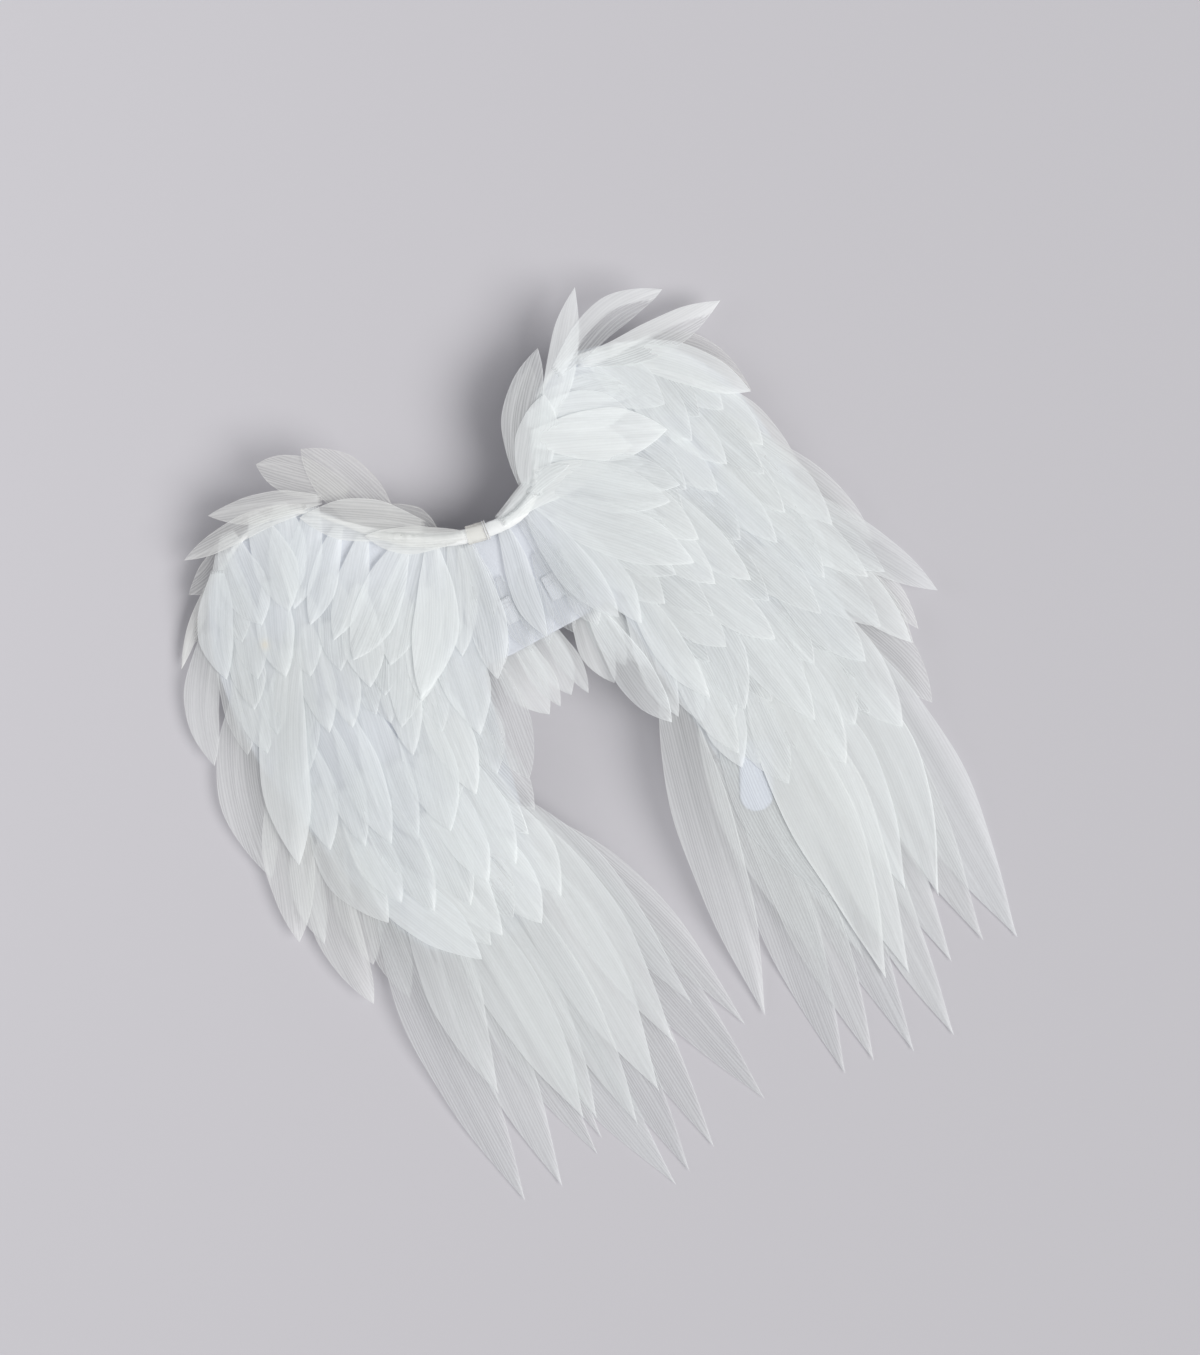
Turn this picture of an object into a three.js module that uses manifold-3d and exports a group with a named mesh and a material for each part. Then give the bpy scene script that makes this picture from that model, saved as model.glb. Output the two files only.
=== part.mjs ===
// A pair of child's dress-up angel wings, lying petal side up.
// A domed felt panel carries shingled rows of leaf-shaped cloth petals. A padded binding follows its
// top edge, crest petals stand out past that edge, and two elastic loops hang under the bridge.
// Millimetres, +Z up, +Y towards the shoulders, +X to the wing on the right. The origin is below the
// middle of the whole pair, on the surface that it lies on.
import * as THREE from 'three';
import Module from 'manifold-3d';

const wasm = await Module();
wasm.setup();

// Overall sizes. Every place in the tables below is a share of these two.
const halfSpan = 225; // middle notch to the outermost petal tip
const tailLength = 400; // middle notch to the longest tail petals

// The panel's dome
const domeHeight = 34; // from the outer rim up to the shoulders
const rimHeight = 7; // of the panel's outer rim over the surface below
const flatHalf = 70; // half width of the level part across the bridge and shoulders
const flatTail = 78; // how far the level part reaches down from the notch
const sideFall = 155; // run over which the dome falls to its sides
const tailFall = 270; // run over which the dome falls towards the tail
const rimFallStart = 230; // where the tail begins to sink from rim height to the surface
const rimFallRun = 120;

// Walls and clearances
const feltWall = 1.8;
const petalWall = 1.2;
const seatGap = 0.6; // between the curved panel and a piece that is sewn to it
const plyGap = 0.4; // between the two plies of petals in one row
const rowGap = 1.2; // between one row's strip and the row above
const stripLip = 0.25; // how far a strip reaches past the petals that are fused to it
const fitGap = 0.3; // between flat faces

// Rows of petals
const rowCount = 8;
const rowStripWidth = 5;
const lastSeam = 195; // the last row's seam, measured down from the notch
const petalWidth = 26;
const broadWidth = 28; // petals of rows 4 to 6
const tailWidth = 29; // petals of rows 7 and 8
const bridgeWidth = 19;
const petalCrown = 0.4; // how far the middle of a broad petal stands above its edges

// Binding, wrap, tapes and straps
const bindingWidth = 9;
const bindingHeight = 5;
const wrapLength = 14;
const wrapWall = 1;
const wrapShare = -0.01; // where the wrap's middle lies, as a share of halfSpan
const tapeWidth = 9;
const tapeLength = 16;
const tapeWall = 1;
const tapeTop = 43; // the tape ends' upper edge, down from the notch
const strapWidth = 10;
const strapWall = 1.2;
const strapReach = 96; // how far a loop lies out from the anchors
const strapAnchorX = 16;
const strapTop = 18; // upper anchor, down from the notch
const strapLegs = 46; // between the loop's two legs

const clothColour = 0xf0f3f4;
const cloth = new THREE.MeshStandardMaterial({ color: clothColour, roughness: 0.75, metalness: 0 });
const felt = new THREE.MeshStandardMaterial({ color: 0xdde3ee, roughness: 0.95, metalness: 0 });
const bindingCloth = new THREE.MeshStandardMaterial({ color: 0xeeece6, roughness: 0.8, metalness: 0 });
const wrapTape = new THREE.MeshStandardMaterial({ color: 0xd8cbb4, roughness: 0.6, metalness: 0 });
const elastic = new THREE.MeshStandardMaterial({ color: 0xf2f2ef, roughness: 0.85, metalness: 0 });

// Seam line of row 1, at equal steps across the span: x share, y share
const topSeamTable = [
  [-0.98, -0.155], [-0.802, 0.02], [-0.624, 0.115], [-0.445, 0.135], [-0.267, 0.055], [-0.089, -0.032],
  [0.089, -0.042], [0.267, 0.05], [0.445, 0.125], [0.624, 0.09], [0.802, -0.025], [0.98, -0.185],
];

// Middle line of the binding along the top edge: x share, y share
const bindingTable = [
  [-0.675, 0.125], [-0.58, 0.155], [-0.465, 0.165], [-0.38, 0.145], [-0.31, 0.105], [-0.22, 0.055],
  [-0.11, 0.015], [0, -0.005], [0.11, -0.0075], [0.185, 0.02], [0.245, 0.08], [0.31, 0.1325],
  [0.39, 0.1575], [0.465, 0.155], [0.58, 0.1375], [0.665, 0.11],
];

// Sections of the panel, left to right: x share, y share of its top edge, y share of its lower edge
const panelTable = [
  [-0.82, -0.075, -0.15], [-0.79, 0.02, -0.26], [-0.735, 0.095, -0.41], [-0.665, 0.135, -0.51],
  [-0.56, 0.165, -0.55], [-0.445, 0.17, -0.555], [-0.355, 0.14, -0.545], [-0.295, 0.1, -0.5],
  [-0.26, 0.082, -0.41], [-0.225, 0.065, -0.32], [-0.19, 0.05, -0.24], [-0.16, 0.037, -0.1875],
  [-0.08, 0.012, -0.1875], [0, 0.0, -0.1875], [0.09, -0.002, -0.1875], [0.16, 0.015, -0.1875],
  [0.215, 0.055, -0.19], [0.235, 0.08, -0.25], [0.255, 0.095, -0.375], [0.275, 0.112, -0.515],
  [0.31, 0.14, -0.565], [0.38, 0.16, -0.56], [0.465, 0.162, -0.555], [0.58, 0.144, -0.54],
  [0.665, 0.115, -0.5], [0.74, 0.06, -0.41], [0.785, 0, -0.275], [0.805, -0.085, -0.165],
];

// Rows of petals. seam: which seam line carries the row, in row steps below row 1's seam. roots: x
// shares of its first and last petal on that seam. tips: the line that the tips follow, as x and y
// shares. The petals alternate between two plies.
const rowTable = [
  { name: 'left_row_1', seam: 0, roots: [-0.65, -0.18], count: 6, width: petalWidth,
    tips: [[-0.785, -0.015], [-0.625, 0.0325], [-0.52, 0.01], [-0.46, -0.08]] },
  { name: 'left_row_2', seam: 1, roots: [-0.67, -0.2], count: 7, width: petalWidth,
    tips: [[-0.72, -0.0375], [-0.58, -0.075], [-0.455, -0.125], [-0.34, -0.19]] },
  { name: 'left_row_3', seam: 2, roots: [-0.7, -0.215], count: 7, width: petalWidth,
    tips: [[-0.79, -0.145], [-0.605, -0.135], [-0.43, -0.2075], [-0.26, -0.27]] },
  { name: 'left_row_4', seam: 3, roots: [-0.67, -0.205], count: 7, width: broadWidth,
    tips: [[-0.86, -0.3125], [-0.67, -0.34], [-0.44, -0.3725], [-0.2, -0.3575]] },
  { name: 'left_row_5', seam: 4, roots: [-0.67, -0.27], count: 7, width: broadWidth,
    tips: [[-0.715, -0.445], [-0.585, -0.4675], [-0.495, -0.4825], [-0.265, -0.43]] },
  { name: 'left_row_6', seam: 5, roots: [-0.645, -0.285], count: 7, width: broadWidth,
    tips: [[-0.71, -0.535], [-0.54, -0.565], [-0.355, -0.5575], [-0.26, -0.525]] },
  { name: 'left_row_7', seam: 6, roots: [-0.64, -0.275], count: 6, width: tailWidth, tail: true,
    tips: [[-0.68, -0.7625], [-0.505, -0.8675], [-0.295, -0.8725], [-0.1, -0.795]] },
  { name: 'left_row_8', seam: 7, roots: [-0.67, -0.275], count: 7, width: tailWidth, tail: true,
    tips: [[-0.755, -0.9225], [-0.65, -0.93], [-0.525, -0.91], [-0.38, -1.01], [-0.24, -0.9875],
      [-0.06, -0.96], [-0.01, -0.8475]] },
  { name: 'right_row_1', seam: 0, roots: [0.65, 0.25], count: 6, width: petalWidth,
    tips: [[0.79, -0.015], [0.665, 0.015], [0.565, 0], [0.46, -0.035]] },
  { name: 'right_row_2', seam: 1, roots: [0.69, 0.215], count: 6, width: petalWidth,
    tips: [[0.8, -0.12], [0.66, -0.085], [0.525, -0.085], [0.445, -0.105]] },
  { name: 'right_row_3', seam: 2, roots: [0.71, 0.225], count: 7, width: petalWidth,
    tips: [[0.825, -0.225], [0.665, -0.175], [0.49, -0.205], [0.355, -0.23]] },
  { name: 'right_row_4', seam: 3, roots: [0.74, 0.225], count: 7, width: broadWidth,
    tips: [[0.89, -0.27], [0.665, -0.305], [0.435, -0.33], [0.22, -0.385]] },
  { name: 'right_row_5', seam: 4, roots: [0.74, 0.26], count: 7, width: broadWidth,
    tips: [[1, -0.4075], [0.745, -0.425], [0.5, -0.39], [0.3, -0.475]] },
  { name: 'right_row_6', seam: 5, roots: [0.7, 0.295], count: 6, width: broadWidth,
    tips: [[0.845, -0.545], [0.74, -0.56], [0.57, -0.535], [0.39, -0.535]] },
  { name: 'right_row_7', seam: 6, roots: [0.65, 0.295], count: 5, width: tailWidth, tail: true,
    tips: [[0.675, -0.68], [0.54, -0.79], [0.445, -0.905], [0.295, -0.825]] },
  { name: 'right_row_8', seam: 7, roots: [0.7, 0.28], count: 7, width: tailWidth, tail: true,
    tips: [[0.75, -0.9275], [0.66, -0.9075], [0.56, -0.9125], [0.47, -1.0125], [0.355, -1.0025],
      [0.25, -0.9875], [0.165, -0.985], [0.05, -0.85]] },
  { name: 'centre_row_1', seam: 0, roots: [-0.05, 0.13], count: 3, width: bridgeWidth, onePly: true,
    tips: [[-0.055, -0.155], [0.045, -0.175], [0.15, -0.165]] },
  { name: 'centre_row_2', seam: 0.85, roots: [-0.11, 0.17], count: 6, width: bridgeWidth,
    tips: [[-0.14, -0.2], [-0.02, -0.1925], [0.105, -0.2], [0.23, -0.205]] },
  { name: 'centre_row_3', seam: 2, roots: [-0.105, 0.195], count: 6, width: bridgeWidth,
    tips: [[-0.07, -0.29], [0.005, -0.2825], [0.12, -0.2975], [0.22, -0.2975]] },
];

// Petals that are set one by one. level: which side of the panel or binding they are sewn to. Each
// row below is one petal: root x, root y, tip x, tip y as shares, width in petal widths, bow to its
// left as a share of its length, roll about its length in degrees.
const loosePetalTable = [
  { name: 'left_outer_row', level: 'under', petals: [
    [-0.765, 0.015, -0.93, -0.1175, 0.85, 0, 0],
    [-0.74, -0.005, -0.835, -0.1275, 0.75, 0, 0],
    [-0.79, -0.1, -0.935, -0.31, 1.15, -0.04, 0],
    [-0.79, -0.2, -0.955, -0.415, 1, -0.08, 0],
    [-0.78, -0.25, -0.9, -0.42, 0.6, 0, 0],
    [-0.74, -0.34, -0.86, -0.55, 1.05, -0.08, 0],
    [-0.7, -0.3875, -0.765, -0.565, 0.85, -0.03, 0]] },
  { name: 'right_outer_row', level: 'under', petals: [
    [0.745, 0, 0.83, -0.1475, 0.85, 0.05, 0],
    [0.765, -0.1, 0.915, -0.2975, 1, 0.05, 0],
    [0.785, -0.25, 0.905, -0.4425, 0.6, 0, 0],
    [0.75, -0.3, 0.87, -0.46, 0.9, 0.08, 0],
    [0.71, -0.3625, 0.845, -0.55, 1, 0.05, 0]] },
  { name: 'left_crest_back', level: 'under', petals: [
    [-0.115, 0.0, -0.16, 0.095, 0.55, 0, 0],
    [-0.24, 0.04, -0.315, 0.2325, 0.9, 0, 0],
    [-0.33, 0.11, -0.44, 0.245, 0.85, 0, 0],
    [-0.39, 0.13, -0.62, 0.21, 0.65, -0.02, 0],
    [-0.48, 0.14, -0.77, 0.125, 0.6, -0.16, -25],
    [-0.57, 0.125, -0.885, 0.0325, 0.55, -0.15, -55]] },
  { name: 'right_crest_back', level: 'under', petals: [
    [0.215, 0.035, 0.36, 0.2, 0.65, 0.08, 0],
    [0.62, 0.1, 0.81, -0.0125, 0.7, 0.05, 0]] },
  { name: 'left_crest_front', level: 'over', petals: [
    [-0.18, 0.06, -0.405, 0.1425, 0.75, -0.06, 0],
    [-0.07, 0.002, -0.295, 0.07, 0.55, -0.06, 0]] },
  { name: 'right_crest_front', level: 'over', petals: [
    [0.045, -0.01, 0.38, -0.015, 0.6, 0, 0],
    [0.06, 0.0, 0.34, 0.045, 0.5, 0, 0],
    [0.18, 0.03, 0.285, 0.11, 0.7, 0, 0],
    [0.26, 0.085, 0.565, -0.005, 1.1, 0, 0],
    [0.34, 0.135, 0.515, 0.2525, 0.75, 0, 0],
    [0.445, 0.15, 0.735, 0.185, 0.65, 0.05, 0],
    [0.525, 0.145, 0.86, 0.1325, 0.7, -0.02, 0]] },
];

// Share of the full fall at a share of its run: level at both ends, steepest in the middle
function fall(share) {
  return Math.cos(THREE.MathUtils.clamp(share, 0, 1) * Math.PI / 2) ** 2;
}

// Height of the panel's upper face at a place
function panelHeight(x, y) {
  const side = fall((Math.abs(x) - flatHalf) / sideFall);
  const tail = fall((-y - flatTail) / tailFall);
  return rimHeight * fall((-y - rimFallStart) / rimFallRun) + domeHeight * side * tail;
}

const topSeam = new THREE.SplineCurve(topSeamTable.map(([x, y]) => new THREE.Vector2(x, y)));

// Row 1's seam line at a distance from the middle
function topSeamAt(x) {
  const [first] = topSeamTable[0];
  const [last] = topSeamTable[topSeamTable.length - 1];
  const along = THREE.MathUtils.clamp((x / halfSpan - first) / (last - first), 0, 1);
  return topSeam.getPoint(along).y * tailLength;
}

// The seam lines close up evenly from row 1's line to the last row's straight line
function seamAt(x, number) {
  return THREE.MathUtils.lerp(topSeamAt(x), -lastSeam, number / (rowCount - 1));
}

// How many row steps a place lies below row 1's seam, no more than the last row
function stepsDown(x, y) {
  const top = topSeamAt(x);
  const steps = (rowCount - 1) * (top - y) / (top + lastSeam);
  return THREE.MathUtils.clamp(steps, 0, rowCount - 1);
}

const plyStep = petalWall + plyGap;
const stripHeight = plyStep + petalWall + petalCrown + 2 * stripLip;
const rowStep = stripHeight + rowGap;

// Underside of a row: it lies on the panel at its seam and climbs over each later row
function rowHeight(seam) {
  return (x, y) => panelHeight(x, y) + seatGap + rowStep * Math.max(0, stepsDown(x, y) - seam);
}

// Undersides of the petals that are sewn under the panel, and over the binding
const looseHeight = {
  under: (x, y) => panelHeight(x, y) - feltWall - seatGap - stripHeight,
  over: (x, y) => panelHeight(x, y) + seatGap + bindingHeight + fitGap + rowStep * stepsDown(x, y),
};

// A closed wall between a grid of points and the same grid raised. rows run away from the root, each
// from left to right, and the last row may be a single point.
function sheetSolid(rows, wall) {
  const points = [];
  const faces = [];
  const lower = rows.map((row) => row.map((point) => points.push([point.x, point.y, point.z]) - 1));
  const upper = rows.map((row) => row.map((point) => points.push([point.x, point.y, point.z + wall]) - 1));
  const quad = (a, b, c, d) => faces.push([a, b, c], [a, c, d]);
  for (let r = 0; r < rows.length - 1; r += 1) {
    const last = rows[r].length - 1;
    if (rows[r + 1].length === 1) {
      for (let c = 0; c < last; c += 1) {
        faces.push([upper[r][c], upper[r][c + 1], upper[r + 1][0]]);
        faces.push([lower[r][c + 1], lower[r][c], lower[r + 1][0]]);
      }
      quad(upper[r][0], upper[r + 1][0], lower[r + 1][0], lower[r][0]);
      quad(lower[r][last], lower[r + 1][0], upper[r + 1][0], upper[r][last]);
      continue;
    }
    for (let c = 0; c < last; c += 1) {
      quad(upper[r][c], upper[r][c + 1], upper[r + 1][c + 1], upper[r + 1][c]);
      quad(lower[r][c + 1], lower[r][c], lower[r + 1][c], lower[r + 1][c + 1]);
    }
    quad(upper[r][0], upper[r + 1][0], lower[r + 1][0], lower[r][0]);
    quad(lower[r][last], lower[r + 1][last], upper[r + 1][last], upper[r][last]);
  }
  const end = rows.length - 1;
  for (let c = 0; c < rows[0].length - 1; c += 1) {
    quad(lower[0][c], lower[0][c + 1], upper[0][c + 1], upper[0][c]);
  }
  for (let c = 0; c < rows[end].length - 1; c += 1) {
    quad(lower[end][c + 1], lower[end][c], upper[end][c], upper[end][c + 1]);
  }
  return solidFrom(points, faces);
}

// A bar along a path, which lies on heightAt or else at the path's own heights. section: corners as
// [to the left, up], anticlockwise seen from ahead.
function barSolid(path, section, heightAt = null) {
  const points = [];
  const faces = [];
  const size = section.length;
  path.forEach((place, i) => {
    const before = path[Math.max(0, i - 1)];
    const after = path[Math.min(path.length - 1, i + 1)];
    const left = new THREE.Vector2(before.y - after.y, after.x - before.x).normalize();
    section.forEach(([across, up]) => {
      const x = place.x + left.x * across;
      const y = place.y + left.y * across;
      points.push([x, y, (heightAt ? heightAt(x, y) : place.z) + up]);
    });
  });
  for (let i = 0; i < path.length - 1; i += 1) {
    for (let j = 0; j < size; j += 1) {
      const a = i * size + j;
      const b = i * size + (j + 1) % size;
      faces.push([a, b, b + size], [a, b + size, a + size]);
    }
  }
  const end = (path.length - 1) * size;
  const corners = section.map(([across, up]) => new THREE.Vector2(across, up));
  THREE.ShapeUtils.triangulateShape(corners, []).forEach(([a, b, c]) => {
    faces.push([c, b, a], [end + a, end + b, end + c]);
  });
  return solidFrom(points, faces);
}

function solidFrom(points, faces) {
  const mesh = new wasm.Mesh({
    numProp: 3, vertProperties: new Float32Array(points.flat()), triVerts: new Uint32Array(faces.flat()),
  });
  return new wasm.Manifold(mesh);
}

function joined(solids) {
  return solids.reduce((whole, solid) => whole.add(solid));
}

const group = new THREE.Group();

function addNode(name, solid, material) {
  const { vertProperties, triVerts } = solid.getMesh();
  const geometry = new THREE.BufferGeometry();
  geometry.setAttribute('position', new THREE.BufferAttribute(vertProperties, 3));
  geometry.setIndex(new THREE.BufferAttribute(triVerts, 1));
  geometry.computeVertexNormals();
  const mesh = new THREE.Mesh(geometry, material);
  mesh.name = name;
  group.add(mesh);
}

// Half width of a petal at a share of its length, as a share of its full half width. A short petal is
// widest past its middle, a tail petal tapers to a long point.
function leafShape(share, tail) {
  return tail ? (0.5 + 1.7 * share) * (1 - share ** 1.8) : (0.42 + 1.45 * share) * (1 - share ** 3);
}

const shortStations = [0, 0.42, 0.78, 1];
const tailStations = [0, 0.22, 0.52, 0.8, 1];

// One petal: a thin leaf that follows heightAt. A broad one is crowned along its middle.
function petalSolid({ root, tip, width, bow = 0, roll = 0, tail = false, ply = 0 }, heightAt) {
  const acrossLeaf = width < broadWidth ? [1, -1] : [1, 0, -1];
  const along = tip.clone().sub(root);
  const left = new THREE.Vector2(-along.y, along.x).normalize();
  const length = along.length();
  const rows = (tail ? tailStations : shortStations).map((share) => {
    const middle = root.clone().addScaledVector(along, share);
    middle.addScaledVector(left, bow * length * Math.sin(Math.PI * share));
    const half = width / 2 * leafShape(share, tail);
    const turn = THREE.MathUtils.degToRad(roll) * THREE.MathUtils.smoothstep(share, 0.4, 0.75);
    const sides = share === 1 ? [0] : acrossLeaf;
    return sides.map((side) => {
      const place = middle.clone().addScaledVector(left, side * half * Math.cos(turn));
      const crown = petalCrown * (1 - Math.abs(side));
      const lift = stripLip + ply * plyStep + crown + side * half * Math.sin(turn);
      return new THREE.Vector3(place.x, place.y, heightAt(place.x, place.y) + lift);
    });
  });
  return sheetSolid(rows, petalWall);
}

const placeAt = (xShare, yShare) => new THREE.Vector2(xShare * halfSpan, yShare * tailLength);

// A plain rectangle as a bar's section, standing on the path
const barSection = (width, height) => [
  [width / 2, 0], [width / 2, height], [-width / 2, height], [-width / 2, 0],
];

// The felt panel, lofted through its sections
function panel() {
  const steps = 7;
  const rows = [];
  for (let r = 0; r <= steps; r += 1) {
    rows.push(panelTable.map(([x, top, lower]) => {
      const place = placeAt(x, THREE.MathUtils.lerp(lower, top, r / steps));
      return new THREE.Vector3(place.x, place.y, panelHeight(place.x, place.y) - feltWall);
    }));
  }
  addNode('backing', sheetSolid(rows, feltWall), felt);
}

// One row of petals, sewn to a strip that lies along its seam
function petalRow({ name, seam, roots, tips, count, width, tail, onePly }) {
  const heightAt = rowHeight(seam);
  const tipLine = new THREE.SplineCurve(tips.map(([x, y]) => placeAt(x, y)));
  const seamPlace = (share) => {
    const x = THREE.MathUtils.lerp(roots[0], roots[1], share) * halfSpan;
    return new THREE.Vector2(x, seamAt(x, seam));
  };
  const petals = [];
  for (let i = 0; i < count; i += 1) {
    const share = i / (count - 1);
    const ply = onePly ? 0 : i % 2;
    petals.push(petalSolid({ root: seamPlace(share), tip: tipLine.getPoint(share), width, tail, ply }, heightAt));
  }
  const path = Array.from({ length: count + 2 }, (_, i) => seamPlace(i / (count + 1)));
  const height = onePly ? stripHeight - plyStep : stripHeight;
  const strip = barSolid(path, barSection(rowStripWidth, height), (x, y) => panelHeight(x, y) + seatGap);
  addNode(name, joined([strip, ...petals]), cloth);
}

// A few petals set one by one, joined by a strip through their roots
function loosePetals({ name, level, petals }) {
  const heightAt = looseHeight[level];
  const solids = petals.map(([rootX, rootY, tipX, tipY, width, bow, roll], i) => petalSolid({
    root: placeAt(rootX, rootY), tip: placeAt(tipX, tipY), width: width * petalWidth, bow, roll, ply: i % 2,
  }, heightAt));
  const line = new THREE.SplineCurve(petals.map(([x, y]) => placeAt(x, y)));
  const strip = barSolid(line.getPoints(2 * petals.length), barSection(rowStripWidth, stripHeight), heightAt);
  addNode(name, joined([strip, ...solids]), cloth);
}

const bindingLine = new THREE.SplineCurve(bindingTable.map(([x, y]) => placeAt(x, y)));

// The padded binding: a low rounded bar on the panel's top edge
function binding() {
  const half = bindingWidth / 2;
  const section = [
    [half, 0], [half, bindingHeight * 0.6], [half * 0.5, bindingHeight], [-half * 0.5, bindingHeight],
    [-half, bindingHeight * 0.6], [-half, 0],
  ];
  const seat = (x, y) => panelHeight(x, y) + seatGap;
  addNode('edge_binding', barSolid(bindingLine.getPoints(26), section, seat), bindingCloth);
}

// The turn of tape at the notch: a hook over the binding, round the panel's edge and back under it
function centreWrap() {
  const inner = bindingWidth / 2 + seatGap;
  const outer = inner + wrapWall;
  const top = seatGap + bindingHeight + fitGap;
  const under = -feltWall - fitGap;
  const section = [
    [-inner, seatGap], [-inner, top], [inner, top], [inner, under], [-inner, under],
    [-inner, under - wrapWall], [outer, under - wrapWall], [outer, top + wrapWall],
    [-outer, top + wrapWall], [-outer, seatGap],
  ];
  const middle = wrapShare * halfSpan;
  const path = bindingLine.getPoints(120).filter(({ x }) => Math.abs(x - middle) < wrapLength / 2);
  addNode('centre_wrap', barSolid(path, section, panelHeight), wrapTape);
}

// Flat ends of the strap tapes, stitched through the bridge and showing on its front
function tapeEnds() {
  [['left_tape_end', -0.035], ['right_tape_end', 0.1]].forEach(([name, xShare]) => {
    const geometry = new THREE.BoxGeometry(tapeWidth, tapeLength, tapeWall);
    const mesh = new THREE.Mesh(geometry, elastic);
    mesh.name = name;
    mesh.position.set(xShare * halfSpan, -tapeTop - tapeLength / 2, panelHeight(0, 0) + fitGap + tapeWall / 2);
    group.add(mesh);
  });
}

// An elastic loop: it leaves the bridge's underside, lies on the surface below, and comes back
function strap(name, side) {
  const anchorHeight = panelHeight(0, 0) - feltWall - fitGap - strapWall;
  const places = [
    [0, 0, 1], [0.2, 0, 0.96], [0.45, 0.02, 0.42], [0.72, 0.02, 0.03], [0.9, 0.14, 0], [1, 0.5, 0],
    [0.9, 0.86, 0], [0.72, 0.98, 0.03], [0.45, 0.98, 0.42], [0.2, 1, 0.96], [0, 1, 1],
  ].map(([out, down, up]) => new THREE.Vector3(
    side * (strapAnchorX + out * strapReach), -strapTop - down * strapLegs, up * anchorHeight));
  const path = new THREE.CatmullRomCurve3(places).getPoints(22);
  addNode(name, barSolid(path, barSection(strapWidth, strapWall)), elastic);
}

panel();
binding();
centreWrap();
tapeEnds();
strap('left_shoulder_strap', -1);
strap('right_shoulder_strap', 1);
rowTable.forEach(petalRow);
loosePetalTable.forEach(loosePetals);

const box = new THREE.Box3().setFromObject(group);
group.position.set(-(box.min.x + box.max.x) / 2, -(box.min.y + box.max.y) / 2, -box.min.z);

export default group;
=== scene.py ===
# Child's dress-up angel wings, lying petal side up on a pale floor.
# Crinkled sheer petals are sewn in shingled rows to a domed felt panel with a padded top edge.
import math

import bpy
import numpy as np
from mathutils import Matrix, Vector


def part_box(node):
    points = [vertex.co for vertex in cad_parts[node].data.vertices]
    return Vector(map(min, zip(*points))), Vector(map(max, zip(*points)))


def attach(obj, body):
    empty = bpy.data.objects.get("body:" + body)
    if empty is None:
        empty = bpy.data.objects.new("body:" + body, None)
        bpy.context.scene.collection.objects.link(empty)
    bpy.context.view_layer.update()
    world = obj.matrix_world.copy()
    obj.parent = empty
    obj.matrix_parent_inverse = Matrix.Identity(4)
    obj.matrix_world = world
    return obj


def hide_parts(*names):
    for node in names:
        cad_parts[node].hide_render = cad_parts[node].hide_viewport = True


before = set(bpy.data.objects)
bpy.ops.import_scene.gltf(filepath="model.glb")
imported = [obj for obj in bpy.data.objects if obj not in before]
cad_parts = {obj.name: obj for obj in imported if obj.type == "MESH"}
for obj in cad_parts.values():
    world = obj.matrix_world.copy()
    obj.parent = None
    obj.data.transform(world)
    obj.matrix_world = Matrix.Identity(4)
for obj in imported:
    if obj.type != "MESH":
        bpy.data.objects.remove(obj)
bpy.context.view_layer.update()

# The setting: a pale floor, a broad soft light from the right of the picture, a weak one from its
# left, and a camera that looks straight down. Places on the wings are given in millimetres from the
# notch between the two wings: x to the right wing, y to the shoulders, z up from the floor.
mm = 0.001
left_tape_x = -7.875
right_tape_x = 22.5
tape_top = -43.0
tape_length = 16.0
tape_height = 41.3
tape_low, tape_high = (np.array(corner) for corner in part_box("left_tape_end"))
tape_middle = (tape_low[:2] + tape_high[:2]) / 2
tape_from_notch = np.array([left_tape_x, tape_top - tape_length / 2])
notch = np.append(tape_middle - tape_from_notch * mm, tape_low[2] - tape_height * mm)


def placed(x, y, z):
    """Points in metres in the object's frame, from places in millimetres around the notch."""
    return np.stack(np.broadcast_arrays(x, y, z), axis=-1) * mm + notch


view_turn = math.radians(28.5)
view_centre = placed(21.0, -112.0, 0.0)
camera_height = 2.5
mean_height = 0.025
sensor_height = 24.0
picture_rows = 1355
row_size = 0.6
picture_height = picture_rows * row_size * mm
light_bounces = 6
cloth_layers = 20

camera = bpy.data.objects.new("camera", bpy.data.cameras.new("camera"))
bpy.context.scene.collection.objects.link(camera)
camera.location = (view_centre[0], view_centre[1], camera_height)
camera.rotation_euler = (0, 0, -view_turn)
camera.data.sensor_fit = "VERTICAL"
camera.data.sensor_height = sensor_height
camera.data.lens = sensor_height * (camera_height - mean_height) / picture_height
bpy.context.scene.camera = camera
bpy.context.scene.view_settings.view_transform = "Standard"
bpy.context.scene.cycles.max_bounces = light_bounces
bpy.context.scene.cycles.transparent_max_bounces = cloth_layers

picture_right = np.array([math.cos(view_turn), -math.sin(view_turn)])
picture_up = np.array([math.sin(view_turn), math.cos(view_turn)])


def add_light(name, kind, right, up, height, power, colour):
    """A light at a place given along the picture's right and up and its height, in metres, which
    shines on the middle of the view."""
    light = bpy.data.lights.new(name, kind)
    light.energy = power
    light.color = colour
    thing = bpy.data.objects.new(name, light)
    bpy.context.scene.collection.objects.link(thing)
    offset = np.append(right * picture_right + up * picture_up, height)
    thing.location = view_centre + offset
    back = offset / np.linalg.norm(offset)
    thing.rotation_euler = (math.acos(back[2]), 0, math.atan2(back[1], back[0]) + math.pi / 2)
    return light


key = add_light("key", "SUN", 1.75, -0.7, 2.3, 3.0, (1.0, 0.99, 0.98))
key.angle = math.radians(36)
fill = add_light("fill", "AREA", -1.15, 0.25, 0.9, 4.0, (0.98, 0.98, 1.0))
fill.size = 0.9

studio_colour = (0.97, 0.97, 1.0)
studio_strength = 0.38
world = bpy.data.worlds.new("soft studio")
world.use_nodes = True
world.node_tree.nodes["Background"].inputs["Color"].default_value = (*studio_colour, 1)
world.node_tree.nodes["Background"].inputs["Strength"].default_value = studio_strength
bpy.context.scene.world = world


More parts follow.
